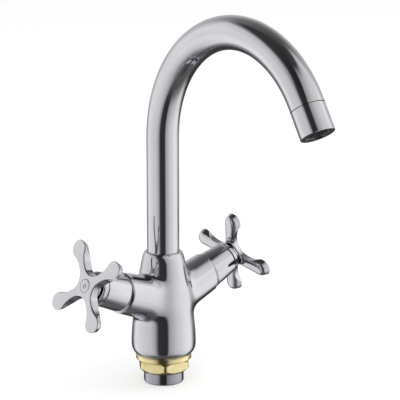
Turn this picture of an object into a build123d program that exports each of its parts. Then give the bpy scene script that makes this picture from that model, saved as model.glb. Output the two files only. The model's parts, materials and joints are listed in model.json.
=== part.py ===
from build123d import *
import os
from math import cos, hypot, radians, sin, sqrt

# Two handle kitchen faucet, in millimetres and degrees.
# The origin is on the riser's axis in the plane of the body's underside, where the sink deck lies.
# +Z is up, the hot arm points to -X, the cold arm to +X, and the spout hangs over -Y.

# Fits
running_fit = 0.05        # radial room of everything that turns or slides
thread_fit = 0.04         # radial room between screwed pieces, drawn as plain cylinders
slot_room = 0.3           # play of a loose screw point or clip in its groove

# Body
body_height = 78.0        # underside to the rim of the neck
rim_wall = 2.0            # wall round the spout's recess at the rim
rim_bevel = 0.6
shoulder_radius = 16.6
shoulder_drop = 9.0       # rim down to the shoulder
flank_radius = 20.0
flank_height = 48.0
hip_radius = 23.3
hip_height = 24.0
belly_radius = 24.2
belly_height = 7.0
foot_radius = 20.75
deck_groove_radius = 18.2
deck_groove_width = 2.4
deck_groove_depth = 1.8

# Arms of the body, measured outwards from the riser's axis
arm_height = 39.2         # where the arm axes cross the riser's axis
arm_tilt = 18.9           # rise above the deck
arm_length = 43.5
arm_root_radius = 16.9
arm_end_radius = 15.0
arm_fillet = 7.0
arm_edge_round = 0.5

# Waterways
inlet_offset = 7.2
inlet_radius = 4.5        # M10 x 1 female, at the minor diameter
inlet_depth = 12.0
channel_radius = 3.6
seat_port_radius = 4.4
port_radius = 3.0
mixing_radius = 6.4
waterway_wall = 2.4

# Mounting
shank_radius = 15.0       # M30 x 1.5
shank_wall = 2.4
shank_insertion = 10.0
shank_drop = 22.5         # underside of the body to the shank's lower end
shank_round = 1.4
nut_flange_radius = 20.9
nut_flange_height = 4.2
nut_across_flats = 36.0
nut_height = 13.8
nut_chamfer_radius = 17.0 # where the lower chamfer meets the end face
nut_flange_round = 0.8
nut_turn = -8.0           # where a corner of the nut stands, from +X, as screwed up

# Spout
tube_radius = 12.0
tube_wall = 1.5
spout_recess = 4.0        # how deep the tube stands in the neck
recess_gap = 0.3
riser_top = 163.7         # height where the bend starts
bend_radius = 83.3
bend_angle = 149.0
tip_straight = 3.0        # straight end of the tube
spout_swing = -5.0        # where the spout stands, from -Y towards -X
slip_ring_thickness = 1.0
stub_radius = 9.0
stub_length = 14.0
stub_wall = 2.4
plug_length = 9.0         # stretch of the stub brazed into the tube
lower_ring_height = 2.0
lower_ring_depth = 1.0
o_ring_section = 1.9
o_ring_squeeze = 0.85     # share of the section left in the groove's depth
stub_groove_pitch = 3.4
lock_groove_width = 3.0
lock_groove_depth = 1.6
lock_screw_radius = 2.0
lock_point_radius = 1.1
lock_screw_sink = 0.8     # screw head below the body's skin
lock_hex_flats = 2.0
lock_hex_depth = 2.5

# Outlet
aerator_length = 20.0
aerator_wall = 1.3
seam_gap = 0.3
outlet_ring_wall = 2.0
outlet_ring_insertion = 4.2
outlet_thread_length = 7.0
outlet_lip = 1.6          # how far the shell's mouth turns inwards
outlet_lip_height = 1.2
washer_thickness = 1.6
insert_rim = 1.2
insert_height = 8.0
mesh_thickness = 0.6
mesh_hole = 1.6
mesh_pitch = 2.2
fin_thickness = 0.8

# Ceramic valves, along each arm
socket_depth = 28.0       # arm's end face to the valve seat
socket_radius = 10.4      # G1/2 thread
seal_thickness = 2.5
disc_radius = 7.8
fixed_disc_thickness = 3.2
moving_disc_thickness = 3.0
disc_port_radius = 5.6
disc_port_web = 1.2       # from the disc's middle to the port's straight side
foot_thickness = 3.0
tang_width = 3.0
tang_height = 1.4
thrust_washer_thickness = 0.8
barrel_radius = 9.2
barrel_lift = 1.2         # valve barrel's end above the seat
window_height = 5.0
window_width = 8.0
thread_run = 13.0         # screwed stretch below the collar
gasket_thickness = 1.0
collar_radius = 11.5
collar_height = 2.0
hex_flats = 19.0
hex_height = 6.0
neck_radius = 9.0
neck_length = 7.5
stem_radius = 4.5
stem_groove_pitch = 4.5
circlip_thickness = 0.9
circlip_radius = 6.4
circlip_groove_depth = 0.7
spline_radius = 4.0
spline_count = 20
spline_depth = 0.35
spline_length = 8.6
screw_radius = 2.4        # M5
screw_hole_depth = 12.0

# Bonnet covers
cover_gap = 0.2
cover_length = 27.8
cover_seam_radius = 14.1
cover_end_radius = 11.9
cover_end_round = 1.5
cover_groove_setback = 3.9
cover_groove_width = 0.9
cover_groove_depth = 0.45

# Cross handles
handle_gap = 0.8
hub_depth = 7.7
hub_radius = 9.6
boss_radius = 7.5
boss_room = 0.7
cross_radius = 36.1       # middle of the hub to the end of an arm
bulb_radius = 6.7
neck_half_width = 2.8
corner_radius = 11.0      # between two arms, on the face
neck_station = 15.8       # where the arm is narrowest
tip_depth = 6.4
root_depth = 7.2          # depth that the arms' backs would reach on the hub's axis
side_draft = 14.0         # how the sides of the necks spread backwards
bar_draft = 17.0          # how the sides of the bulbs narrow backwards
bar_corner_radius = 5.0   # between two arms, at the back
face_round = 1.2
back_round = 4.0
hub_chamfer = 0.8
hot_turn = 33.0           # how the crosses stand when shut
cold_turn = 16.1
insert_radius = 5.9
web_thickness = 2.6
screw_head_radius = 4.3
screw_head_height = 2.8
screw_hex_flats = 3.0
screw_hex_depth = 1.6
button_radius = 5.0
button_depth = 2.6
button_dome = 0.7
tick_length = 3.2
tick_width = 0.7
tick_depth = 0.35
tick_pitch = 2.2

# Places worked out from the sizes above
recess_floor = body_height - spout_recess
tube_foot = recess_floor + slip_ring_thickness
stub_foot = tube_foot - stub_length
socket_floor = stub_foot - slip_ring_thickness
recess_radius = tube_radius + recess_gap
rim_radius = recess_radius + rim_wall
seat_station = arm_length - socket_depth
disc_station = seat_station + seal_thickness
disc_face = disc_station + fixed_disc_thickness
foot_station = disc_face + moving_disc_thickness
washer_station = foot_station + foot_thickness
shoulder_station = washer_station + thrust_washer_thickness
collar_station = arm_length + gasket_thickness
hex_station = collar_station + collar_height
neck_base = hex_station + hex_height
neck_end = neck_base + neck_length
cover_start = arm_length + cover_gap
cover_end = cover_start + cover_length
hub_back = cover_end + handle_gap
face_station = hub_back + hub_depth
pocket_floor = face_station - button_depth
head_seat = pocket_floor - screw_head_height - slot_room
stem_end = head_seat - web_thickness - slot_room
spline_start = stem_end - spline_length
circlip_station = neck_end + running_fit
boss_end = circlip_station + circlip_thickness + slot_room
port_station = seat_station + barrel_lift + port_radius
port_height = (arm_height + port_station * sin(radians(arm_tilt))
               + (socket_radius - port_radius / 2) * cos(radians(arm_tilt)))
port_reach = (port_station * cos(radians(arm_tilt))
              - (socket_radius - port_radius) * sin(radians(arm_tilt)))
mixing_floor = port_height - port_radius - waterway_wall
o_ring_groove = o_ring_section * o_ring_squeeze
lock_level = recess_floor - lock_groove_width
o_ring_levels = [lock_level - lock_groove_width - k * stub_groove_pitch for k in (0, 1)]
stem_o_ring_stations = [shoulder_station + (k + 1) * stem_groove_pitch for k in (0, 1)]


# Basic shapes, standing on the local Z axis

def rod(radius, low, high):
    """A cylinder between two heights."""
    return Pos(0, 0, low) * extrude(Circle(radius), high - low)


def ring(outer, inner, low, high):
    """A tube between two heights."""
    return Pos(0, 0, low) * extrude(Circle(outer) - Circle(inner), high - low)


def hex_bar(flats, low, high, turn=0.0):
    """A hexagonal bar between two heights."""
    section = RegularPolygon(flats / 2, 6, major_radius=False, rotation=turn)
    return Pos(0, 0, low) * extrude(section, high - low)


def turned(*outline):
    """A lathe-turned piece from a closed outline of (radius, height) points."""
    return revolve(Plane.XZ * make_face(Polyline(*outline, close=True)), Axis.Z)


def o_ring(radius, level):
    """A rubber ring, flattened in its groove: radius is its outer one."""
    outline = Pos(radius - o_ring_groove / 2, level) * Ellipse(o_ring_groove / 2, o_ring_section / 2)
    return revolve(Plane.XZ * outline, Axis.Z)


def arm_frame(side):
    """Local frame of an arm: Z runs out along the arm, X leans up. side is -1 for hot, 1 for cold."""
    lean = radians(arm_tilt)
    outward = (side * cos(lean), 0, sin(lean))
    upward = (-side * sin(lean), 0, cos(lean))
    return Plane(origin=(0, 0, arm_height), x_dir=upward, z_dir=outward)


def spout_turned():
    """Turns a piece modelled with its spout over +X to where the spout stands."""
    return Rot(0, 0, spout_swing - 90)


# Body and mounting

def body_blank():
    """The vase-shaped casting before any hole is bored."""
    shoulder = (shoulder_radius, body_height - shoulder_drop)
    rim_edge = (rim_radius, body_height - rim_bevel)
    flank = Spline(rim_edge, shoulder, (flank_radius, flank_height), (hip_radius, hip_height),
                   (belly_radius, belly_height), tangents=[(0.45, -1), (0, -1)],
                   tangent_scalars=[1, 1])
    heel = TangentArc((belly_radius, belly_height), (foot_radius, 0), tangent=(0, -1))
    rest = Polyline((foot_radius, 0), (0, 0), (0, body_height), (rim_radius - rim_bevel, body_height),
                    rim_edge)
    return revolve(Plane.YZ * make_face([flank, heel, rest]), Axis.Z)


def arm_blank(side):
    """A tapered arm, from the riser's axis to its end face."""
    arm = turned((0, 0), (arm_root_radius, 0), (arm_end_radius, arm_length), (0, arm_length))
    end_edge = arm.edges().filter_by(GeomType.CIRCLE).sort_by(Axis.Z)[-1]
    return arm_frame(side) * fillet(end_edge, arm_edge_round)


def arm_waterways(side):
    """The valve socket, the seat port, the inlet and the channel between them, as separate plugs."""
    frame = arm_frame(side)
    seat_start = (inlet_offset - channel_radius / 2) / cos(radians(arm_tilt)) - channel_radius / 2
    pocket_level = arm_height + inlet_offset * sin(radians(arm_tilt)) / cos(radians(arm_tilt))
    return [
        frame * rod(socket_radius, seat_station, arm_length + 1),
        frame * rod(seat_port_radius, seat_start, seat_station + 1),
        Pos(side * inlet_offset, 0) * rod(inlet_radius, 0, shank_insertion + inlet_depth),
        Pos(side * inlet_offset, 0) * rod(channel_radius, shank_insertion, pocket_level),
    ]


def lock_screw_frame():
    """Local frame of the grub screw at the back of the neck: Z runs outwards."""
    return Plane(origin=(0, 0, lock_level), z_dir=(0, 1, 0))


def neck_skin_radius():
    """Radius of the body's skin at the grub screw, between the rim and the shoulder."""
    share = (body_height - lock_level) / shoulder_drop
    return rim_radius + (shoulder_radius - rim_radius) * share


def body():
    """The cast body with its sockets, waterways and seats."""
    casting = body_blank() + arm_blank(-1) + arm_blank(1)
    arm_seams = casting.edges().filter_by(
        lambda edge: edge.is_closed and edge.geom_type != GeomType.CIRCLE)
    casting = fillet(arm_seams, arm_fillet)
    plugs = [
        rod(recess_radius, recess_floor, body_height + 1),
        rod(stub_radius + running_fit, socket_floor, recess_floor + 1),
        rod(mixing_radius, mixing_floor, socket_floor + 1),
        rod(shank_radius + thread_fit, -1, shank_insertion),
        ring(deck_groove_radius + deck_groove_width / 2, deck_groove_radius - deck_groove_width / 2,
             -1, deck_groove_depth),
        lock_screw_frame() * rod(lock_screw_radius + thread_fit, stub_radius - 1, belly_radius),
        Pos(0, 0, port_height) * (Rot(0, 90, 0) * rod(port_radius, -port_reach, port_reach)),
    ]
    for plug in plugs + arm_waterways(-1) + arm_waterways(1):
        casting -= plug
    return casting


def base_gasket():
    """The rubber ring in the groove under the body, flush with the underside."""
    return ring(deck_groove_radius + deck_groove_width / 2 - thread_fit,
                deck_groove_radius - deck_groove_width / 2 + thread_fit, 0, deck_groove_depth)


def mounting_shank():
    """The threaded shank through which the supply hoses run."""
    shank = ring(shank_radius, shank_radius - shank_wall, -shank_drop, shank_insertion)
    low_edges = shank.edges().filter_by(GeomType.CIRCLE).group_by(Axis.Z)[0]
    return fillet(low_edges.sort_by(SortBy.RADIUS)[-1], shank_round)


def mounting_nut():
    """The flanged brass nut that clamps the deck against the body."""
    corner_radius = nut_across_flats / sqrt(3)
    chamfer_rise = corner_radius - nut_chamfer_radius
    blank = hex_bar(nut_across_flats, -nut_height, 0, nut_turn)
    envelope = turned((0, 0), (corner_radius, 0), (corner_radius, chamfer_rise - nut_height),
                      (nut_chamfer_radius, -nut_height), (0, -nut_height))
    flange = rod(nut_flange_radius, -nut_flange_height, 0)
    flange = fillet(flange.edges().filter_by(GeomType.CIRCLE), nut_flange_round)
    return (blank & envelope) + flange - rod(shank_radius + running_fit, -nut_height - 1, 1)


# Spout

def spout_path():
    """Centre line of the tube, in the XZ plane, with the bend over +X."""
    riser = Line((0, tube_foot), (0, riser_top))
    bend = JernArc(start=(0, riser_top), tangent=(0, 1), radius=bend_radius, arc_size=-bend_angle)
    tip = Line(bend @ 1, (bend @ 1) + (bend % 1) * tip_straight)
    return Plane.XZ * Wire([riser, bend, tip])


def outlet_frame():
    """Place of the tube's lower end, with Z running downstream."""
    path = spout_path()
    return spout_turned() * Plane(origin=path @ 1, x_dir=(0, 1, 0), z_dir=path % 1).location


def spout_tube():
    """The bent tube."""
    section = Pos(0, 0, tube_foot) * (Circle(tube_radius) - Circle(tube_radius - tube_wall))
    return spout_turned() * sweep(section, path=spout_path())


def spout_nipple():
    """The stub brazed into the tube's foot, which turns in the neck of the body."""
    plug = rod(tube_radius - tube_wall - thread_fit, tube_foot, tube_foot + plug_length)
    stub = rod(stub_radius, stub_foot, tube_foot)
    for level in o_ring_levels:
        stub -= ring(stub_radius + 1, stub_radius - o_ring_groove,
                     level - o_ring_section / 2 - slot_room / 2,
                     level + o_ring_section / 2 + slot_room / 2)
    stub -= ring(stub_radius + 1, stub_radius - lock_groove_depth,
                 lock_level - lock_groove_width / 2, lock_level + lock_groove_width / 2)
    stub -= ring(stub_radius + 1, stub_radius - lower_ring_depth, stub_foot - 1,
                 stub_foot + lower_ring_height)
    bore = rod(stub_radius - stub_wall, stub_foot - 1, tube_foot + plug_length + 1)
    return plug + stub - bore


def spout_o_rings():
    """The two seals of the stub."""
    return [o_ring(stub_radius, level) for level in o_ring_levels]


def spout_slip_ring_upper():
    """The plastic washer that the tube's foot turns on."""
    return ring(tube_radius, stub_radius + running_fit, recess_floor, tube_foot)


def spout_slip_ring_lower():
    """The plastic bush round the stub's lower end."""
    return ring(stub_radius, stub_radius - lower_ring_depth, stub_foot,
                stub_foot + lower_ring_height)


def spout_retaining_screw():
    """The grub screw whose point runs in the stub's groove."""
    groove_floor = stub_radius - lock_groove_depth
    point_end = groove_floor + slot_room
    thread_start = stub_radius + slot_room
    head_end = neck_skin_radius() - lock_screw_sink
    screw = rod(lock_point_radius, point_end, thread_start + 1)
    screw += rod(lock_screw_radius, thread_start, head_end)
    screw -= hex_bar(lock_hex_flats, head_end - lock_hex_depth, head_end + 1)
    return lock_screw_frame() * screw


# Outlet, built downstream from the tube's end

def spout_outlet_ring():
    """The threaded ring brazed into the tube's end."""
    radius = tube_radius - tube_wall - running_fit
    return outlet_frame() * ring(radius, radius - outlet_ring_wall, -outlet_ring_insertion,
                                 outlet_thread_length)


def aerator_housing():
    """The screwed shell of the aerator, as wide as the tube."""
    bore = tube_radius - aerator_wall
    thread_bore = tube_radius - tube_wall - running_fit + thread_fit
    mouth = bore - outlet_lip
    step = outlet_thread_length + seam_gap
    low = aerator_length - outlet_lip_height
    edge = seam_gap
    shell = turned((thread_bore, seam_gap), (tube_radius - edge, seam_gap),
                   (tube_radius, seam_gap + edge), (tube_radius, aerator_length - edge),
                   (tube_radius - edge, aerator_length), (mouth, aerator_length), (mouth, low),
                   (bore, low), (bore, step), (thread_bore, step))
    return outlet_frame() * shell


def aerator_washer():
    """The flat rubber washer between the outlet ring and the insert."""
    radius = tube_radius - tube_wall - running_fit
    return outlet_frame() * ring(radius, radius - outlet_ring_wall, outlet_thread_length,
                                 outlet_thread_length + washer_thickness)


def aerator_insert():
    """The plastic flow straightener: a cup with crossed fins."""
    radius = tube_radius - aerator_wall - running_fit
    start = outlet_thread_length + washer_thickness
    wall = ring(radius, radius - insert_rim, start, start + insert_height)
    core = Pos(0, 0, start) * extrude(Circle(radius - insert_rim / 2), insert_height)
    fins = Box(2 * radius, fin_thickness, insert_height, align=(Align.CENTER, Align.CENTER, Align.MIN))
    fins = Pos(0, 0, start) * fins
    cross = (fins & core) + (Rot(0, 0, 60) * fins & core) + (Rot(0, 0, 120) * fins & core)
    return outlet_frame() * (wall + cross)


def aerator_mesh():
    """The perforated disc that shows in the outlet."""
    radius = tube_radius - aerator_wall - running_fit
    low = aerator_length - outlet_lip_height
    disc = Circle(radius)
    reach = radius - outlet_lip - mesh_hole
    rows = int(reach / mesh_pitch)
    for i in range(-rows, rows + 1):
        for j in range(-rows, rows + 1):
            if hypot(i, j) * mesh_pitch < reach:
                disc -= Pos(i * mesh_pitch, j * mesh_pitch) * Rectangle(mesh_hole, mesh_hole)
    return outlet_frame() * (Pos(0, 0, low - mesh_thickness) * extrude(disc, mesh_thickness))


def aerator_spacer():
    """The plastic cup that holds the mesh against the shell's mouth."""
    radius = tube_radius - aerator_wall - running_fit
    start = outlet_thread_length + washer_thickness + insert_height
    low = aerator_length - outlet_lip_height - mesh_thickness
    return outlet_frame() * ring(radius, radius - insert_rim, start, low)


# Ceramic valve, built outwards along the arm

def half_moon(radius, thickness, station):
    """The plug of a half-moon port on the +X side."""
    side = Pos(disc_port_web + radius / 2, 0) * Rectangle(radius, 2 * radius)
    return Pos(0, 0, station) * extrude(Circle(radius) & side, thickness)


def seat_seal():
    """The rubber seal between the seat and the fixed disc."""
    return ring(disc_radius, seat_port_radius, seat_station, disc_station)


def fixed_disc():
    """The ceramic disc that doesn't turn."""
    return (rod(disc_radius, disc_station, disc_face)
            - half_moon(disc_port_radius, fixed_disc_thickness, disc_station))


def moving_disc():
    """The ceramic disc that the stem turns: shut, its port lies opposite the fixed one."""
    port = Rot(0, 0, 180) * half_moon(disc_port_radius, moving_disc_thickness, disc_face)
    slot = Pos(0, 0, foot_station) * Box(2 * disc_radius, tang_width + 2 * running_fit,
                                         2 * (tang_height + running_fit))
    return rod(disc_radius, disc_face, foot_station) - port - slot


def valve_stem():
    """The brass stem: foot with its tang, sealed shaft and splined end."""
    tang = Pos(0, 0, foot_station) * Box(2 * disc_radius, tang_width, 2 * tang_height)
    foot = rod(disc_radius, foot_station, washer_station)
    tang = tang & rod(disc_radius, foot_station - tang_height, washer_station)
    stem = foot + tang + rod(stem_radius, washer_station, spline_start)
    for station in stem_o_ring_stations:
        stem -= ring(stem_radius + 1, stem_radius - o_ring_groove,
                     station - o_ring_section / 2 - slot_room / 2,
                     station + o_ring_section / 2 + slot_room / 2)
    stem -= ring(stem_radius + 1, stem_radius - circlip_groove_depth, circlip_station,
                 circlip_station + circlip_thickness + running_fit)
    return stem + splined_end() - rod(screw_radius + thread_fit, stem_end - screw_hole_depth, stem_end + 1)


def spline_section(radius):
    """Round section with shallow teeth, as points from a steady step round the circle."""
    step = 360 / (2 * spline_count)
    radii = [radius, radius - spline_depth]
    corners = [(radii[k % 2] * cos(radians(k * step)), radii[k % 2] * sin(radians(k * step)))
               for k in range(2 * spline_count)]
    return make_face(Polyline(*corners, close=True))


def splined_end():
    """The toothed end that carries the handle."""
    return Pos(0, 0, spline_start) * extrude(spline_section(spline_radius), spline_length)


def stem_o_rings():
    """The two seals of the stem."""
    return [o_ring(stem_radius, station) for station in stem_o_ring_stations]


def stem_thrust_washer():
    """The slippery washer between the stem's foot and the housing."""
    return ring(disc_radius, stem_radius + running_fit, washer_station, shoulder_station)


def stem_circlip():
    """The open clip that keeps the stem in the housing."""
    inner = stem_radius - circlip_groove_depth
    clip = ring(circlip_radius, inner, circlip_station, circlip_station + circlip_thickness)
    mouth = Pos(circlip_radius, 0, circlip_station) * Box(2 * circlip_radius, stem_radius,
                                                          4 * circlip_thickness)
    return clip - mouth


def valve_housing():
    """The brass housing screwed into the arm, with its side windows."""
    barrel_foot = seat_station + barrel_lift
    thread_start = arm_length - thread_run
    housing = rod(barrel_radius, barrel_foot, thread_start + 1)
    housing += rod(socket_radius - thread_fit, thread_start, collar_station)
    housing += rod(collar_radius, collar_station, hex_station)
    housing += hex_bar(hex_flats, hex_station, neck_base)
    housing += rod(neck_radius, neck_base, neck_end)
    housing -= rod(disc_radius + running_fit + thread_fit, barrel_foot - 1, shoulder_station)
    housing -= rod(stem_radius + running_fit, shoulder_station - 1, neck_end + 1)
    window = Box(4 * barrel_radius, window_width, window_height)
    return housing - Pos(0, 0, disc_face + moving_disc_thickness / 2) * window


def housing_gasket():
    """The fibre washer under the housing's collar."""
    return ring(collar_radius, socket_radius + running_fit, arm_length, collar_station)


# Cover and handle, built outwards along the arm

def bonnet_cover():
    """The chromed sleeve over the valve, screwed on the housing's neck."""
    slope = (cover_seam_radius - cover_end_radius) / cover_length
    groove = cover_end - cover_groove_setback
    groove_radius = cover_seam_radius - slope * (groove - cover_start)
    skirt_end = neck_base + running_fit
    skirt_bore = collar_radius + slot_room / 2
    blank = turned((0, cover_start), (cover_seam_radius, cover_start), (cover_end_radius, cover_end),
                   (0, cover_end))
    end_edge = blank.edges().filter_by(GeomType.CIRCLE).sort_by(Axis.Z)[-1]
    blank = fillet(end_edge, cover_end_round)
    blank -= ring(cover_seam_radius, groove_radius - cover_groove_depth,
                  groove - cover_groove_width / 2, groove + cover_groove_width / 2)
    blank -= rod(skirt_bore, cover_start - 1, skirt_end)
    blank -= rod(neck_radius + thread_fit, skirt_end - 1, neck_end)
    return blank - rod(boss_radius + boss_room, neck_end - 1, cover_end + 1)


def cross_outline():
    """The face of the cross: four necked arms with round ends."""
    bulb_station = cross_radius - bulb_radius
    reach = bulb_station - neck_station
    flare_radius = ((reach ** 2 + neck_half_width ** 2 - bulb_radius ** 2)
                    / (2 * (bulb_radius - neck_half_width)))
    centre_height = neck_half_width + flare_radius
    share = bulb_radius / (flare_radius + bulb_radius)
    meet = (bulb_station - reach * share, centre_height * share)
    spread = hypot(reach / 2, centre_height - meet[1])
    middle_x = (neck_station + meet[0]) / 2
    middle_y = centre_height - sqrt(flare_radius ** 2 - (middle_x - neck_station) ** 2)
    corner = neck_half_width + corner_radius
    edges = []
    for quarter in range(4):
        turn = Rot(0, 0, 90 * quarter)
        corner_middle = corner - corner_radius / sqrt(2)
        edges += [
            turn * ThreePointArc((corner, -neck_half_width), (corner_middle, -corner_middle),
                                 (neck_half_width, -corner)),
            turn * Line((corner, -neck_half_width), (neck_station, -neck_half_width)),
            turn * ThreePointArc((neck_station, -neck_half_width), (middle_x, -middle_y),
                                 (meet[0], -meet[1])),
            turn * ThreePointArc((meet[0], -meet[1]), (cross_radius, 0), meet),
            turn * ThreePointArc(meet, (middle_x, middle_y), (neck_station, neck_half_width)),
            turn * Line((neck_station, neck_half_width), (corner, neck_half_width)),
        ]
    return make_face(edges)


def cross_bars():
    """The straight round-ended bars behind the face, with rounded corners between them."""
    bar = SlotOverall(2 * cross_radius, 2 * bulb_radius)
    bars = bar + Rot(0, 0, 90) * bar
    corners = bars.vertices().filter_by(lambda corner: hypot(corner.X, corner.Y) < 2 * bulb_radius)
    return fillet(corners, bar_corner_radius)


def cross_arms():
    """The four arms: necked at the face, straight bars with rounded backs behind it."""
    depth = root_depth + 1
    necked = extrude(Pos(0, 0, face_station) * cross_outline(), -depth, taper=-side_draft)
    necked = fillet(necked.faces().sort_by(Axis.Z)[-1].edges(), face_round)
    bars = extrude(Pos(0, 0, face_station) * cross_bars(), -depth, taper=bar_draft)
    back = turned((0, face_station - root_depth), (cross_radius + 1, face_station - tip_depth),
                  (cross_radius + 1, face_station + 1), (0, face_station + 1))
    bars = bars & back
    back_edges = bars.edges().filter_by(
        lambda edge: edge.bounding_box().max.Z < face_station - face_round)
    return necked & fillet(back_edges, back_round)


def handle():
    """The cast cross handle with its hub, boss and pockets."""
    hub = rod(hub_radius, hub_back, face_station - root_depth + 1)
    hub = chamfer(hub.edges().group_by(Axis.Z)[0], hub_chamfer)
    casting = cross_arms() + hub + rod(boss_radius, boss_end, hub_back + 1)
    casting -= rod(button_radius + thread_fit, pocket_floor, face_station + 1)
    casting -= rod(screw_head_radius + running_fit, head_seat, face_station)
    casting -= rod(screw_radius + running_fit, stem_end, face_station)
    return casting - rod(insert_radius, boss_end - 1, stem_end + slot_room)


def spline_insert():
    """The plastic adapter between the splined stem and the handle."""
    insert = rod(insert_radius, boss_end, stem_end)
    bore = Pos(0, 0, spline_start) * extrude(spline_section(spline_radius + thread_fit), spline_length + 1)
    return insert - bore - rod(stem_radius + running_fit, boss_end - 1, spline_start + running_fit)


def handle_screw():
    """The socket screw that holds the handle on the stem."""
    head_top = head_seat + screw_head_height
    screw = rod(screw_radius, stem_end - screw_hole_depth + slot_room, head_seat + 1)
    screw += rod(screw_head_radius, head_seat, head_top)
    return screw - hex_bar(screw_hex_flats, head_top - screw_hex_depth, head_top + 1)


def index_button(ticks):
    """The domed button in the handle's face, with plain engraved ticks."""
    sagitta = button_dome
    crown_radius = (button_radius ** 2 + sagitta ** 2) / (2 * sagitta)
    ball = Pos(0, 0, face_station + sagitta - crown_radius) * Sphere(crown_radius)
    blank = rod(button_radius, pocket_floor, face_station + 2 * sagitta) & ball
    first = -(ticks - 1) * tick_pitch / 2
    for k in range(ticks):
        tick = Box(tick_length, tick_width, 2 * (sagitta + tick_depth))
        blank -= Pos(0, first + k * tick_pitch, face_station + 2 * sagitta) * tick
    return blank


# Writing the pieces

def save(name, shape):
    """Write one sub-part, a solid or a list of them."""
    solids = shape if isinstance(shape, list) else [shape]
    export_step(Compound(children=[solid for piece in solids for solid in piece.solids()]),
                f"parts/{name}.step")


def arm_pieces(side, handle_turn, ticks):
    """Every piece on one arm, by name, in its place."""
    turned_with_handle = Rot(0, 0, handle_turn)
    pieces = {
        "seat_seal": seat_seal(),
        "fixed_disc": fixed_disc(),
        "moving_disc": moving_disc(),
        "valve_stem": valve_stem(),
        "stem_o_rings": stem_o_rings(),
        "stem_thrust_washer": stem_thrust_washer(),
        "stem_circlip": stem_circlip(),
        "valve_housing": valve_housing(),
        "housing_gasket": housing_gasket(),
        "bonnet_cover": bonnet_cover(),
        "handle": turned_with_handle * handle(),
        "spline_insert": spline_insert(),
        "handle_screw": handle_screw(),
        "index_button": turned_with_handle * index_button(ticks),
    }
    frame = arm_frame(side)
    placed = {}
    for name, shape in pieces.items():
        solids = shape if isinstance(shape, list) else [shape]
        placed[name] = [frame * solid for solid in solids]
    return placed


os.makedirs("parts", exist_ok=True)

save("body", body())
save("base_gasket", base_gasket())
save("mounting_shank", mounting_shank())
save("mounting_nut", mounting_nut())
save("spout_tube", spout_tube())
save("spout_nipple", spout_nipple())
save("spout_o_rings", spout_o_rings())
save("spout_slip_ring_upper", spout_slip_ring_upper())
save("spout_slip_ring_lower", spout_slip_ring_lower())
save("spout_retaining_screw", spout_retaining_screw())
save("spout_outlet_ring", spout_outlet_ring())
save("aerator_housing", aerator_housing())
save("aerator_washer", aerator_washer())
save("aerator_insert", aerator_insert())
save("aerator_spacer", aerator_spacer())
save("aerator_mesh", aerator_mesh())

for label, side, handle_turn, ticks in (("hot", -1, hot_turn, 2), ("cold", 1, cold_turn, 1)):
    for name, shape in arm_pieces(side, handle_turn, ticks).items():
        save(f"{label}_{name}", shape)
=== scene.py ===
import json
import math

import bpy
from mathutils import Matrix, Vector


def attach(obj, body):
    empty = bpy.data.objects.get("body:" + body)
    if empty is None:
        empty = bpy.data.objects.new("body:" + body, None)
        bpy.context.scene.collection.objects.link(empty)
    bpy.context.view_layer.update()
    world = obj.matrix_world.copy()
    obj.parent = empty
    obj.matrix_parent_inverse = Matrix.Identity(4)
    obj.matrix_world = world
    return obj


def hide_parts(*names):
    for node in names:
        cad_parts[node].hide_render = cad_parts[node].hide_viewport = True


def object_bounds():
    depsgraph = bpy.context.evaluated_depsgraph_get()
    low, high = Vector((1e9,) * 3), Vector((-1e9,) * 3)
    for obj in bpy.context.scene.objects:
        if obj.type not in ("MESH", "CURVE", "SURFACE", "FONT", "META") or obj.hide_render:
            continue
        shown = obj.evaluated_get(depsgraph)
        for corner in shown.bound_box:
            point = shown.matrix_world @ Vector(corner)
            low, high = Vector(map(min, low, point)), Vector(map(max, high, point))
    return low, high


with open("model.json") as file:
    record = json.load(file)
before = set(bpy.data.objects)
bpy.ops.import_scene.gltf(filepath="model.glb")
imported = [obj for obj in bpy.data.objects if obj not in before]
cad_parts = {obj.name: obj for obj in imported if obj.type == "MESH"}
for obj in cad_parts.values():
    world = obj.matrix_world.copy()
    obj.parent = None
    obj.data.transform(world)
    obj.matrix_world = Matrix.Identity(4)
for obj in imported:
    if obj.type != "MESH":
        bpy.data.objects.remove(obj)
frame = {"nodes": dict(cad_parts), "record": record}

cad_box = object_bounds()

# ---------------------------------------------------------------- the view of the photograph
camera_azimuth = math.radians(-43.65)
camera_elevation = math.radians(11.92)
camera_distance = 1.1668
sensor_width = 36.0
focal_length = 142.17
middle_height = 0.120          # the level of the point that the camera looks past
aim_right = 0.02736            # from the faucet's axis to the picture's middle, along the picture
aim_up = -0.00321

# ---------------------------------------------------------------- light
plain_level = 0.62             # of the room, on matt surfaces
plate_reflectance = 0.6        # of the chromium, about
lamp_power = 26.0
lamps = (("left_softbox", (-1.9, -1.6, 1.9), 0.6), ("right_softbox", (1.9, -1.2, 1.9), 0.4))
lamp_size = 1.8
floor_size = 8.0
floor_drop = 0.0002            # below the shank's end, so that the two don't fight
floor_glow = 0.42              # what takes the floor to white for the camera, shadow and all

# How bright the room shows in the chromium, by bearing from the camera: degrees, left negative, and
# level. In this table and the next ones the ramp's two ends come first.
wall_levels = ((-180, 0.42), (180, 0.42), (-150, 0.42), (-118, 0.70), (-85, 0.60), (-45, 0.50),
               (-30, 0.34), (-17, 0.02), (15, 0.012), (23, 0.30), (50, 0.51), (90, 0.70),
               (112, 0.73), (130, 0.46), (152, 0.38))
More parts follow.
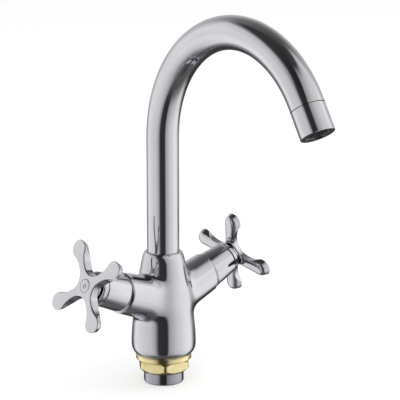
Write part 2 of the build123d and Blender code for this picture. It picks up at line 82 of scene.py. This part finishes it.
# the share of that level by rise above the horizon, on the left, on the right and behind the faucet
left_heights = ((-90, 0.0), (90, 0.0), (-70, 0.02), (-60, 0.25), (-45, 0.80), (-25, 1.0),
                (-12, 1.0), (-5, 0.91), (15, 0.93), (31, 0.82), (38, 0.69), (43, 0.25), (50, 0.03))
right_heights = ((-90, 0.0), (90, 0.0), (-66, 0.02), (-56, 0.25), (-44, 0.78), (-20, 1.0),
                 (26, 1.0), (36, 0.80), (48, 0.77), (60, 0.64), (66, 0.35), (71, 0.03))
back_heights = ((-90, 0.05), (90, 0.0), (-30, 0.06), (-17, 0.08), (-11, 0.45), (-4, 0.72),
                (10, 0.92), (25, 0.82), (38, 0.48), (47, 0.28), (62, 0.16))
# by bearing, how far the heights are those behind the faucet
behind_shares = ((-180, 1.0), (180, 1.0), (-142, 1.0), (-122, 0.0), (122, 0.0), (140, 1.0))
# by rise, the dim light of floor and ceiling, which is there all round
room_levels = ((-90, 0.03), (90, 0.03), (-75, 0.08), (-60, 0.06), (-45, 0.012), (40, 0.012))
# the dark gap in front leans over to the left as it rises, in degrees
gap_lean = 22
gap_lean_rises = (10, 28)      # where it starts to lean and where it has leant over
gap_lean_bearings = (60, 100)  # to each side, the lean fades out between these


def linear(hex_colour):
    """An sRGB hex colour as the linear colour that a shader takes."""
    parts = [int(hex_colour[i:i + 2], 16) / 255 for i in (1, 3, 5)]
    return tuple(p / 12.92 if p <= 0.04045 else ((p + 0.055) / 1.055) ** 2.4
                 for p in parts) + (1.0,)


def node(tree, kind, inputs=None, stops=None, **settings):
    """Add a node. A socket in inputs is linked, and anything else is set on the node's own socket.

    The stops are a colour ramp's, the first two its ends."""
    made = tree.nodes.new("ShaderNode" + kind)
    for name, value in settings.items():
        setattr(made, name, value)
    for name, value in (inputs or {}).items():
        if isinstance(value, bpy.types.NodeSocket):
            tree.links.new(value, made.inputs[name])
        else:
            made.inputs[name].default_value = value
    for place, (position, value) in enumerate(stops or []):
        elements = made.color_ramp.elements
        stop = elements[place] if place < 2 else elements.new(position)
        stop.position = position
        stop.color = (value, value, value, 1) if isinstance(value, float) else value
    return made


def remove_default_objects():
    for name in ("Cube", "Light", "Camera"):
        if name in bpy.data.objects:
            bpy.data.objects.remove(bpy.data.objects[name])


def add_camera():
    azimuth, elevation = camera_azimuth, camera_elevation
    right = Vector((math.cos(azimuth), math.sin(azimuth), 0))
    back = Vector((math.sin(azimuth) * math.cos(elevation),
                   -math.cos(azimuth) * math.cos(elevation), math.sin(elevation)))
    upward = back.cross(right)
    place = (Vector((0, 0, middle_height)) + aim_right * right + aim_up * upward
             + camera_distance * back)
    turn = Matrix((right, upward, back)).transposed().to_4x4()
    camera = bpy.data.objects.new("camera", bpy.data.cameras.new("camera"))
    bpy.context.scene.collection.objects.link(camera)
    camera.matrix_world = Matrix.Translation(place) @ turn
    camera.data.sensor_width = sensor_width
    camera.data.lens = focal_length
    bpy.context.scene.camera = camera


def spread(table, lowest, highest):
    """A table of degrees and levels as a ramp's stops, with the degrees as places on the ramp."""
    return [((degrees - lowest) / (highest - lowest), level) for degrees, level in table]


def add_world():
    """A studio room: a softbox on each side, a dark gap between them in front, a dark ceiling.

    Only reflections show it. Matt surfaces get one plain level, and the camera sees white."""
    world = bpy.data.worlds.new("studio")
    bpy.context.scene.world = world
    world.use_nodes = True
    tree = world.node_tree
    tree.nodes.clear()
    bearing, rise = add_directions(tree)
    round_room = node(tree, "MapRange", {"Value": add_lean(tree, bearing, rise),
                                         "From Min": -math.pi, "From Max": math.pi}).outputs[0]
    up_wall = node(tree, "MapRange", {"Value": rise, "From Min": -math.pi / 2,
                                      "From Max": math.pi / 2}).outputs[0]
    walls = node(tree, "ValToRGB", {0: round_room}, stops=spread(wall_levels, -180, 180))
    behind = node(tree, "ValToRGB", {0: round_room}, stops=spread(behind_shares, -180, 180))
    left = node(tree, "ValToRGB", {0: up_wall}, stops=spread(left_heights, -90, 90))
    right = node(tree, "ValToRGB", {0: up_wall}, stops=spread(right_heights, -90, 90))
    back = node(tree, "ValToRGB", {0: up_wall}, stops=spread(back_heights, -90, 90))
    room = node(tree, "ValToRGB", {0: up_wall}, stops=spread(room_levels, -90, 90))
    side = node(tree, "Math", {0: bearing, 1: 0.0}, operation="GREATER_THAN")
    front = node(tree, "Mix", {0: side.outputs[0], 2: left.outputs[0], 3: right.outputs[0]})
    height = node(tree, "Mix", {0: behind.outputs[0], 2: front.outputs[0], 3: back.outputs[0]})
    softboxes = node(tree, "Math", {0: walls.outputs[0], 1: height.outputs[0]},
                     operation="MULTIPLY")
    both = node(tree, "Math", {0: softboxes.outputs[0], 1: room.outputs[0]}, operation="ADD")
    seen = node(tree, "Math", {0: both.outputs[0], 1: 1 / plate_reflectance},
                operation="MULTIPLY")
    rays = node(tree, "LightPath")
    inside = node(tree, "Mix", {0: rays.outputs["Is Glossy Ray"], 2: plain_level,
                                3: seen.outputs[0]})
    white = node(tree, "Math", {0: rays.outputs["Is Camera Ray"],
                                1: rays.outputs["Is Transmission Ray"]}, operation="MAXIMUM")
    strength = node(tree, "Mix", {0: white.outputs[0], 2: inside.outputs[0], 3: 1.0})
    background = node(tree, "Background", {"Color": (1, 1, 1, 1), "Strength": strength.outputs[0]})
    node(tree, "OutputWorld", {"Surface": background.outputs[0]})


def add_directions(tree):
    """The bearing from the camera, from behind over the left, the front and the right, and the rise
    above the horizon, both in radians."""
    direction = node(tree, "TexCoord").outputs["Generated"]
    facing = node(tree, "VectorRotate", {"Vector": direction, "Angle": -camera_azimuth},
                  rotation_type="Z_AXIS")
    parts = node(tree, "SeparateXYZ", {0: facing.outputs[0]})
    forwards = node(tree, "Math", {0: parts.outputs["Y"], 1: -1.0}, operation="MULTIPLY")
    bearing = node(tree, "Math", {0: parts.outputs["X"], 1: forwards.outputs[0]},
                   operation="ARCTAN2")
    rise = node(tree, "Math", {0: parts.outputs["Z"]}, operation="ARCSINE")
    return bearing.outputs[0], rise.outputs[0]


def add_lean(tree, bearing, rise):
    """The bearing on the walls' table, which leans away from the real one as it rises."""
    above = node(tree, "MapRange", {"Value": rise, "From Min": math.radians(gap_lean_rises[0]),
                                    "From Max": math.radians(gap_lean_rises[1]),
                                    "To Max": math.radians(gap_lean)})
    off_front = node(tree, "Math", {0: bearing}, operation="ABSOLUTE")
    in_front = node(tree, "MapRange", {"Value": off_front.outputs[0],
                                       "From Min": math.radians(gap_lean_bearings[0]),
                                       "From Max": math.radians(gap_lean_bearings[1]),
                                       "To Min": 1.0, "To Max": 0.0})
    leaning = node(tree, "Math", {0: above.outputs[0], 1: in_front.outputs[0], 2: bearing},
                   operation="MULTIPLY_ADD")
    return leaning.outputs[0]


def add_floor():
    material = bpy.data.materials.new("white_floor")
    material.use_nodes = True
    tree = material.node_tree
    tree.nodes.clear()
    matt = node(tree, "BsdfDiffuse", {"Color": linear("#F0F0F0")})
    rays = node(tree, "LightPath")
    glow = node(tree, "Emission", {"Color": (1, 1, 1, 1), "Strength": floor_glow})
    lit = node(tree, "AddShader", {0: matt.outputs[0], 1: glow.outputs[0]})
    mixed = node(tree, "MixShader", {0: rays.outputs["Is Camera Ray"], 1: matt.outputs[0],
                                     2: lit.outputs[0]})
    node(tree, "OutputMaterial", {"Surface": mixed.outputs[0]})
    bpy.ops.object.select_all(action="DESELECT")
    bpy.ops.mesh.primitive_plane_add(size=floor_size,
                                     location=(0, 0, cad_box[0][2] - floor_drop))
    floor = bpy.context.object
    floor.name = "floor"
    floor.data.materials.append(material)
    floor.visible_glossy = False


def add_lamps():
    """Two soft lamps for the matt parts and the shadow. The chromium shows the room instead."""
    for name, place, share in lamps:
        lamp = bpy.data.objects.new(name, bpy.data.lights.new(name, "AREA"))
        bpy.context.scene.collection.objects.link(lamp)
        lamp.location = place
        lamp.rotation_euler = (-Vector(place)).to_track_quat("-Z", "Y").to_euler()
        lamp.data.size = lamp_size
        lamp.data.energy = lamp_power * share
        lamp.visible_glossy = False


# ---------------------------------------------------------------- finishes, sizes in metres
noise_middle = (0.35, 0.65)    # a noise stays between these nearly everywhere
haze_size = 0.025              # of the clouds of haze on the plate
wipe_size = 0.0012             # width of the streaks in it


def plated(name, shades, roughness, wave_size, wave_depth):
    """Bright chromium plate: a cool grey mirror. It shows the slow waviness of the polished metal
    under it, and a thin haze in small streaks where it has been wiped."""
    material, tree, place = new_material(name)
    haze = node(tree, "TexNoise", {"Vector": place, "Scale": 1 / haze_size, "Detail": 3.0})
    wipes = node(tree, "TexNoise", {"Vector": place, "Scale": 1 / wipe_size, "Detail": 2.0})
    cloud = node(tree, "Mix", {0: 0.35, 2: haze.outputs[0], 3: wipes.outputs[0]})
    waves = node(tree, "TexNoise", {"Vector": place, "Scale": 1 / wave_size, "Detail": 2.0})
    finish(tree, cloud, shades, roughness, waves, wave_depth, 1.0)
    return material


def mottled(name, shades, size, roughness, grain_depth, metallic=0.0, stretch=(1, 1, 1)):
    """A surface with one colour that varies a little: grains of one size, in colour, roughness and
    bump alike, drawn long where the tool left them long."""
    material, tree, place = new_material(name)
    drawn = node(tree, "Mapping", {"Vector": place, "Scale": stretch})
    grain = node(tree, "TexNoise", {"Vector": drawn.outputs[0], "Scale": 1 / size, "Detail": 4.0,
                                    "Roughness": 0.55})
    slow = node(tree, "TexNoise", {"Vector": place, "Scale": 1 / (12 * size), "Detail": 2.0})
    cloud = node(tree, "Mix", {0: 0.5, 2: grain.outputs[0], 3: slow.outputs[0]})
    finish(tree, cloud, shades, roughness, grain, grain_depth, metallic)
    return material


def new_material(name):
    material = bpy.data.materials.new(name)
    material.use_nodes = True
    tree = material.node_tree
    tree.nodes.clear()
    return material, tree, node(tree, "TexCoord").outputs["Object"]


def finish(tree, cloud, shades, roughness, relief, depth, metallic):
    """Shade the surface: its colour and roughness follow the cloud and its bump the relief."""
    low, high = noise_middle
    colour = node(tree, "ValToRGB", {0: cloud.outputs[0]}, stops=[
        (low, linear(shades[0])), (high, linear(shades[1]))])
    rough = node(tree, "MapRange", {"Value": cloud.outputs[0], "From Min": low, "From Max": high,
                                    "To Min": roughness[0], "To Max": roughness[1]})
    bump = node(tree, "Bump", {"Height": relief.outputs[0], "Strength": 1.0, "Distance": depth})
    shader = node(tree, "BsdfPrincipled", {
        "Base Color": colour.outputs[0], "Metallic": metallic, "Roughness": rough.outputs[0],
        "Normal": bump.outputs[0]})
    node(tree, "OutputMaterial", {"Surface": shader.outputs[0]})


def make_materials():
    """The finish of every part of the faucet, by name."""
    return {
        # chromium plate on cast brass that was ground and buffed: slow waves, 12 mm apart
        "cast": plated("chromium_on_cast_brass", ("#C8C8CD", "#CFCFD4"), (0.030, 0.055), 0.012,
                       5e-6),
        # chromium plate on drawn tube: straighter, so the dark line along it keeps a sharp edge
        "tube": plated("chromium_on_drawn_tube", ("#C9C9CE", "#CECED3"), (0.025, 0.045), 0.020,
                       3e-6),
        # chromium plate on die-cast zinc: a trace of orange peel, 3 mm across
        "zinc": plated("chromium_on_die_cast_zinc", ("#C9C9CE", "#D0D0D5"), (0.035, 0.060), 0.003,
                       6e-7),
        # chromium plate on the bare turned shank, never buffed: darker and duller
        "shank": plated("chromium_on_turned_thread", ("#9A98A1", "#A8A6AF"), (0.08, 0.13), 0.004,
                        2e-6),
        # plain forged brass, tumbled and left bare: pale yellow, satin, with 0.8 mm grains
        "nut": mottled("tumbled_brass", ("#E3D198", "#F2E5B8"), 0.0008, (0.12, 0.20), 3e-6, 1.0),
        # free-cutting brass straight from the lathe: marks 0.4 mm apart, drawn out round the part
        "turned": mottled("turned_brass", ("#D9BE72", "#E6D08A"), 0.0004, (0.18, 0.30), 3e-6, 1.0,
                          (1, 1, 4)),
        # black nitrile rubber with the dull skin of its mould
        "rubber": mottled("black_nitrile_rubber", ("#1B1B1C", "#262627"), 0.0006, (0.50, 0.65),
                          8e-6),
        # lapped alumina, near white and almost grainless
        "ceramic": mottled("lapped_alumina", ("#E6E2D8", "#EFECE4"), 0.0003, (0.16, 0.24), 5e-7),
        # vulcanised fibre washer, brick red, with short fibres that all lie one way
        "fibre": mottled("vulcanised_fibre", ("#7C3B2C", "#8E4938"), 0.0008, (0.60, 0.75), 1.2e-5,
                         0.0, (1, 3, 1)),
        # the aerator's cage, moulded in grey acetal so that lime does not show on it
        "grey": mottled("moulded_grey_acetal", ("#5E5E62", "#6C6C70"), 0.0008, (0.35, 0.45), 3e-6),
        # the aerator's strainer, etched from stainless sheet and dulled by water
        "strainer": mottled("etched_stainless_strainer", ("#4E4E51", "#626265"), 0.0006,
                            (0.40, 0.50), 4e-6, 0.7),
        # natural acetal, moulded: milky white with a soft gloss
        "acetal": mottled("moulded_acetal", ("#E8E8E2", "#F0F0EB"), 0.0008, (0.30, 0.38), 2e-6),
        # stainless steel, drawn and pickled: grey with fine draw lines
        "steel": mottled("drawn_stainless_steel", ("#A9A9A8", "#BDBDBC"), 0.0003, (0.22, 0.36),
                         2e-6, 1.0, (4, 4, 1)),
    }


# the finish of each slot of the record, and of the few nodes that differ from their slot's
finish_of_slot = {"chromed_brass": "cast", "chromed_tube": "tube", "chromed_handle": "zinc",
                  "plain_brass": "nut", "valve_brass": "turned", "seal_rubber": "rubber",
                  "ceramic": "ceramic", "fibre": "fibre", "acetal": "acetal", "stainless": "steel"}
finish_of_node = {"mounting_shank": "shank", "aerator_insert": "grey", "aerator_spacer": "grey",
                  "aerator_mesh": "strainer"}

# ---------------------------------------------------------------- the cast body, in millimetres
MM = 0.001
sides = 16                     # of the cage round the vase and round each arm
# of the cage's radius, the share that is left when it is smooth
cage_share = (4 + 2 * math.cos(2 * math.pi / sides)) / 6
cage_levels = 3                # of subdivision
arm_height = 39.2              # where the arms' axes cross the vase's
arm_tilt = math.radians(18.9)
arm_centre = Vector((0, 0, arm_height * MM))
# level, radius and sharpness of each ring of the vase, from the shank's thread up the outside and
# down into the spout's socket
vase_rings = [(10, 15.04), (0, 15.04, 1), (0, 20.75, 1), (1.5, 22.4), (4.2, 23.85), (8, 24.25),
              (13, 24.1), (19, 23.75), (24.5, 23.25), (29, 22.75), (37, 21.66), (44.8, 20.5),
              (53, 19.24), (61, 17.98), (67, 16.97), (71.5, 16.12), (75, 15.25), (76.8, 14.65),
              (77.7, 14.1, 0.3), (78, 13.7, 0.5), (78, 12.3, 1), (74, 12.3, 1), (74, 9.05, 1),
              (58, 9.05, 1)]
vase_outside = slice(2, 19)    # the rings from the foot to the neck
arm_window = (9, 13)           # the rings below and above an arm
# levels of those five rings at each bearing from the arm, 0 for a ring that stays at its level,
# and how far they bulge to flow into the arm
window_levels = {0.0: (28.3, 0, 0, 0, 64.0), 22.5: (28.9, 0, 0, 0, 62.6),
                 45.0: (33.0, 38.5, 44.8, 51.0, 57.0), 67.5: (31.0, 37.5, 44.8, 52.0, 59.0),
                 90.0: (30.0, 37.3, 44.8, 52.3, 60.0)}
window_bulge = {45.0: (0.0, 1.1, 1.6, 1.1, 0.0), 67.5: (0.0, 0.9, 1.2, 0.9, 0.0),
                90.0: (0.0, 0.4, 0.5, 0.4, 0.0)}
# degrees that the window's posts, at 45 degrees, stand further out; their neighbours go half as far
window_lean = (0.0, 3.5, 4.8, 3.5, 0.0)
lean_shares = {45.0: 1.0, 67.5: 0.5}
# station along the arm, radius and sharpness of each ring, from its root to the valve's socket
arm_rings = [(22, 15.94), (28.5, 15.65), (35, 15.37), (40, 15.15), (42.9, 15.03),
             (43.5, 14.95, 0.6), (43.5, 13.6), (43.5, 10.4, 1), (15.5, 10.4, 1)]
root_lift = 4.3                # how much further out the root's ring stands on top
screw_level = 71               # of the hole for the spout's retaining screw, at the back
screw_rings = [(8.5, 2.04), (24, 2.04)]

# ---------------------------------------------------------------- the other pieces, in millimetres
# station along the arm and radius of each ring of a cover, from its inner edge at the seam over
# the outside and back along the inside
cover_rings = [(44.3, 12.0), (43.7, 12.4), (43.7, 12.8), (44.9, 12.8), (45.1, 12.9),
               (46.6, 13.83), (46.8, 13.87), (66.5, 12.3), (66.6, 12.2), (66.65, 11.5),
               (68.0, 11.4), (68.05, 12.05), (68.2, 12.16), (70.0, 12.02), (70.7, 11.85),
               (71.2, 11.45), (71.45, 11.0), (71.5, 10.6), (71.35, 10.2), (71.0, 9.95),
               (70.5, 9.85), (66, 9.85), (64, 10.6), (46, 12.0)]
nut_turn = math.radians(-8)    # where a corner of the nut stands, from the cold arm's side
nut_flats, nut_height, nut_flange = 36.0, 13.8, 4.2
nut_overlap = 0.4              # how far the hexagon goes up into the flange
nut_corner = 4.0               # radius of the hexagon's upright corners
nut_edge = 0.2                 # round of its other edges
# level and radius of each ring of the nut's flange, of its chamfers' cone and of its bore
flange_rings = [(-4.3, 15.5), (-4.2, 20.1), (-4.0, 20.6), (-3.6, 20.86), (-1.3, 20.9),
                (-0.7, 20.72), (-0.25, 20.3), (0, 19.7), (0, 15.5)]
chamfer_rings = [(-3.9, 17.2), (-6.8, 21.2), (-9.2, 21.2), (-13.8, 16.3)]
bore_rings = [(-20, 15.04), (5, 15.04)]
button_face = 80               # station of the handle's face
# station from that face and radius of the form that rounds the button's rim over
rim_rings = [(-5, 4.99), (-0.75, 4.99), (-0.4, 4.93), (-0.1, 4.78), (0.1, 4.55), (0.22, 4.25),
             (0.3, 3.9), (2, 3.8)]


def arm_axis(side):
    """The direction in which an arm goes out, on the left for -1 and on the right for 1."""
    return Vector((side * math.cos(arm_tilt), 0, math.sin(arm_tilt)))


def vase_radius(level):
    """Radius of the vase between two of its rings."""
    outer = [ring[:2] for ring in vase_rings[vase_outside]]
    for (low, low_radius), (high, high_radius) in zip(outer, outer[1:]):
        if low <= level <= high:
            return low_radius + (high_radius - low_radius) * (level - low) / (high - low)


def edit(piece):
    bpy.context.view_layer.objects.active = piece
    bpy.ops.object.mode_set(mode="EDIT")
    bpy.ops.mesh.select_mode(type="VERT")


def draw_rings(rings, centre, axis, cap=True):
    """Extrude the selected ring along the axis through the stations of the list, swelling and
    shrinking it, and sharpen the rings that stay edges."""
    station, radius = rings[0][:2]
    for ring in rings[1:]:
        step = axis * (ring[0] - station) * MM
        bpy.ops.mesh.extrude_region_move(TRANSFORM_OT_translate={"value": step})
        size = ring[1] / radius
        bpy.ops.transform.resize(value=(size, size, size),
                                 center_override=centre + axis * ring[0] * MM)
        bpy.ops.transform.edge_crease(value=-1)       # the new ring had taken over the old one's
        if len(ring) > 2:
            bpy.ops.transform.edge_crease(value=ring[2])
        station, radius = ring[:2]
    if cap:
        bpy.ops.mesh.edge_face_add()


def turned(name, rings, centre=Vector((0, 0, 0)), axis=Vector((0, 0, 1)), segments=96,
           hollow=False):
    """A piece as it comes from the lathe: a ring drawn out along its axis, then closed at its ends,
    or inside, where it is hollow."""
    bpy.ops.object.select_all(action="DESELECT")
    bpy.ops.mesh.primitive_circle_add(vertices=segments, radius=rings[0][1] * MM,
                                      location=centre + axis * rings[0][0] * MM,
                                      rotation=axis.to_track_quat("Z", "Y").to_euler())
    piece = bpy.context.object
    piece.name = name
    bpy.ops.object.transform_apply(location=True, rotation=True)
    edit(piece)
    bpy.ops.mesh.select_all(action="SELECT")
    draw_rings(rings, centre, axis, cap=not hollow)
    bpy.ops.mesh.select_all(action="DESELECT")
    bpy.ops.mesh.select_non_manifold(extend=False)
    if hollow:
        bpy.ops.mesh.bridge_edge_loops()
    else:
        bpy.ops.mesh.edge_face_add()
    bpy.ops.mesh.select_all(action="SELECT")
    bpy.ops.mesh.normals_make_consistent(inside=False)
    bpy.ops.object.mode_set(mode="OBJECT")
    return piece


def cut(piece, tool, operation="DIFFERENCE"):
    """Cut the piece with the tool, or join them, and throw the tool away."""
    change = piece.modifiers.new("cut", "BOOLEAN")
    change.operation, change.solver, change.object = operation, "EXACT", tool
    bpy.context.view_layer.objects.active = piece
    bpy.ops.object.modifier_apply(modifier="cut")
    bpy.data.objects.remove(tool)


def finish_piece(piece, material, body, node_name, smooth_below=35, edge=0.0):
    """Round the piece's edges, smooth its shading up to an angle, give it its material, hang it on
    its body and hide the node that it stands in for.
    """
    bpy.ops.object.select_all(action="DESELECT")
    piece.select_set(True)
    bpy.context.view_layer.objects.active = piece
    if edge:
        rounded = piece.modifiers.new("edges", "BEVEL")
        rounded.width, rounded.segments, rounded.limit_method = edge * MM, 3, "ANGLE"
        rounded.angle_limit = math.radians(30)
        bpy.ops.object.modifier_apply(modifier="edges")
    bpy.ops.object.shade_smooth_by_angle(angle=math.radians(smooth_below))
    piece.data.materials.append(materials[material])
    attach(piece, body)
    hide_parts(node_name)


def make_body():
    """The cast body: a vase with two arms that flow out of its sides, and the sockets that hold the
    spout, the valves and the shank. The arms' roots are tight above and below and long in front
    and behind, as on the casting."""
    cage_rings = [(level, radius / cage_share, *sharp) for level, radius, *sharp in vase_rings]
    vase = turned("cast_body", cage_rings, segments=sides)
    open_windows(vase)
    for side in (-1, 1):
        add_arm(vase, side)
    bpy.ops.object.mode_set(mode="OBJECT")
    smooth = vase.modifiers.new("smooth", "SUBSURF")
    smooth.levels = smooth.render_levels = cage_levels
    bpy.ops.object.modifier_apply(modifier="smooth")
    backward = Vector((0, 1, 0))
    cut(vase, turned("screw_hole", screw_rings, Vector((0, 0, screw_level * MM)), backward, 32))
    finish_piece(vase, "cast", "faucet_body", "body")


def open_windows(vase):
    """Shape the rings round each arm's root and take out the faces where the arm comes in."""
    low, high = arm_window
    for index, point in enumerate(vase.data.vertices):
        row = index // sides - low
        if 0 <= row <= high - low:
            shape_window(point, row)
    edit(vase)
    bpy.ops.mesh.select_mode(type="FACE")
    bpy.ops.mesh.select_all(action="DESELECT")
    bpy.ops.object.mode_set(mode="OBJECT")
    for face in vase.data.polygons:
        rows = [index // sides for index in face.vertices]
        face.select = (low <= min(rows) and max(rows) <= high and len(rows) == 4
                       and abs(face.center.x) > abs(face.center.y) * 1.02)
    bpy.ops.object.mode_set(mode="EDIT")
    bpy.ops.mesh.delete(type="FACE")


def shape_window(point, row):
    """Put one point of the rings round an arm's root in its place."""
    bearing = math.degrees(math.atan2(abs(point.co.y), abs(point.co.x)))
    column = min(window_levels, key=lambda angle: abs(angle - bearing))
    level = window_levels[column][row] or vase_rings[arm_window[0] + row][0]
    radius = vase_radius(level) / cage_share
    if column in window_bulge:
        radius += window_bulge[column][row]
    turned_to = math.radians(column + lean_shares.get(column, 0.0) * window_lean[row])
    outward = math.copysign(radius * math.cos(turned_to), point.co.x) if column < 90 else 0
    backward = math.copysign(radius * math.sin(turned_to), point.co.y) if column > 0 else 0
    point.co = Vector((outward, backward, level)) * MM


def add_arm(vase, side):
    """Set a ring round the arm's axis, draw the arm out of it and join its root to the window."""
    axis = arm_axis(side)
    upward = Vector((-side * math.sin(arm_tilt), 0, math.cos(arm_tilt)))
    bpy.ops.mesh.select_mode(type="VERT")
    bpy.ops.mesh.select_all(action="DESELECT")
    station, radius = arm_rings[0]
    root_radius = radius / cage_share * MM
    place = arm_centre + axis * station * MM
    turned_to = Matrix((upward, axis.cross(upward), axis)).transposed().to_euler()
    bpy.ops.mesh.primitive_circle_add(vertices=sides, radius=root_radius, location=place,
                                      rotation=turned_to)
    bpy.ops.object.mode_set(mode="OBJECT")
    for point in vase.data.vertices:
        if point.select:
            height = (point.co - place).dot(upward) / root_radius
            point.co += axis * root_lift * MM * max(0.0, height) ** 1.5
    bpy.ops.object.mode_set(mode="EDIT")
    draw_rings(arm_rings, arm_centre, axis)
    join_root(vase.data, side)


def join_root(mesh, side):
    """Bridge the arm's open root to the open window on its side."""
    bpy.ops.mesh.select_all(action="DESELECT")
    bpy.ops.mesh.select_non_manifold(extend=False)
    bpy.ops.object.mode_set(mode="OBJECT")
    for edge in mesh.edges:
        ends = [mesh.vertices[index].co for index in edge.vertices]
        edge.select = edge.select and side * ends[0].x > 0 and side * ends[1].x > 0
    for point in mesh.vertices:
        point.select = point.select and side * point.co.x > 0
    bpy.ops.object.mode_set(mode="EDIT")
    bpy.ops.mesh.select_mode(type="EDGE")
    bpy.ops.mesh.bridge_edge_loops(type="SINGLE")
    bpy.ops.mesh.select_all(action="SELECT")
    bpy.ops.mesh.normals_make_consistent(inside=False)


def make_covers():
    """The bonnet covers: tapered shells, chamfered at the seam with the arm, with one turned groove
    near the rolled mouth."""
    for side, name in ((-1, "hot"), (1, "cold")):
        cover = turned(name + "_cover_shell", cover_rings, arm_centre, arm_axis(side), 128, True)
        finish_piece(cover, "cast", "faucet_body", name + "_bonnet_cover", 40)


def make_nut():
    """The mounting nut: a chamfered hexagon with soft corners under a round flange."""
    bpy.ops.object.select_all(action="DESELECT")
    middle = -(nut_height + nut_flange) / 2
    bpy.ops.mesh.primitive_cylinder_add(
        vertices=6, radius=nut_flats / 2 / math.cos(math.radians(30)) * MM,
        depth=(nut_height - nut_flange + nut_overlap) * MM,
        location=(0, 0, (middle + nut_overlap / 2) * MM),
        rotation=(0, 0, nut_turn + math.radians(30)))
    nut = bpy.context.object
    nut.name = "hexagon_nut"
    bpy.ops.object.transform_apply(location=True, rotation=True)
    edit(nut)
    bpy.ops.mesh.select_all(action="DESELECT")
    bpy.ops.object.mode_set(mode="OBJECT")
    for edge in nut.data.edges:
        low, high = (nut.data.vertices[index].co for index in edge.vertices)
        edge.select = abs(low.z - high.z) > 1 * MM
    bpy.ops.object.mode_set(mode="EDIT")
    bpy.ops.mesh.select_mode(type="EDGE")
    bpy.ops.mesh.bevel(offset=nut_corner * math.tan(math.radians(30)) * MM, segments=8,
                       affect="EDGES")
    bpy.ops.object.mode_set(mode="OBJECT")
    cut(nut, turned("chamfer", chamfer_rings, segments=128), "INTERSECT")
    cut(nut, turned("flange", flange_rings, segments=128), "UNION")
    cut(nut, turned("bore", bore_rings))
    finish_piece(nut, "nut", "nut", "mounting_nut", 25, nut_edge)


def make_buttons():
    """The index buttons with their plain ticks, their rims rounded over into a fine groove."""
    for side, name in ((-1, "hot"), (1, "cold")):
        axis = arm_axis(side)
        blank_mesh = frame["nodes"][name + "_index_button"].data.copy()
        blank = bpy.data.objects.new("blank", blank_mesh)
        bpy.context.scene.collection.objects.link(blank)
        bpy.ops.object.select_all(action="DESELECT")
        edit(blank)
        bpy.ops.mesh.select_all(action="SELECT")
        bpy.ops.mesh.remove_doubles(threshold=0.001 * MM)
        bpy.ops.object.mode_set(mode="OBJECT")
        blank_mesh.materials.clear()
        button = turned(name + "_button", rim_rings, arm_centre + axis * button_face * MM, axis)
        cut(button, blank, "INTERSECT")
        finish_piece(button, "zinc", name + "_handle_and_stem", name + "_index_button")


# ---------------------------------------------------------------- the scene
bpy.context.scene.view_settings.view_transform = "Standard"
remove_default_objects()
add_camera()
add_world()
add_floor()
add_lamps()

materials = make_materials()
for part in frame["record"]["subparts"]:
    name = finish_of_node.get(part["node"], finish_of_slot[part["material_slot"]])
    for held in frame["nodes"][part["node"]].material_slots:
        held.material = materials[name]

make_body()
make_covers()
make_nut()
make_buttons()
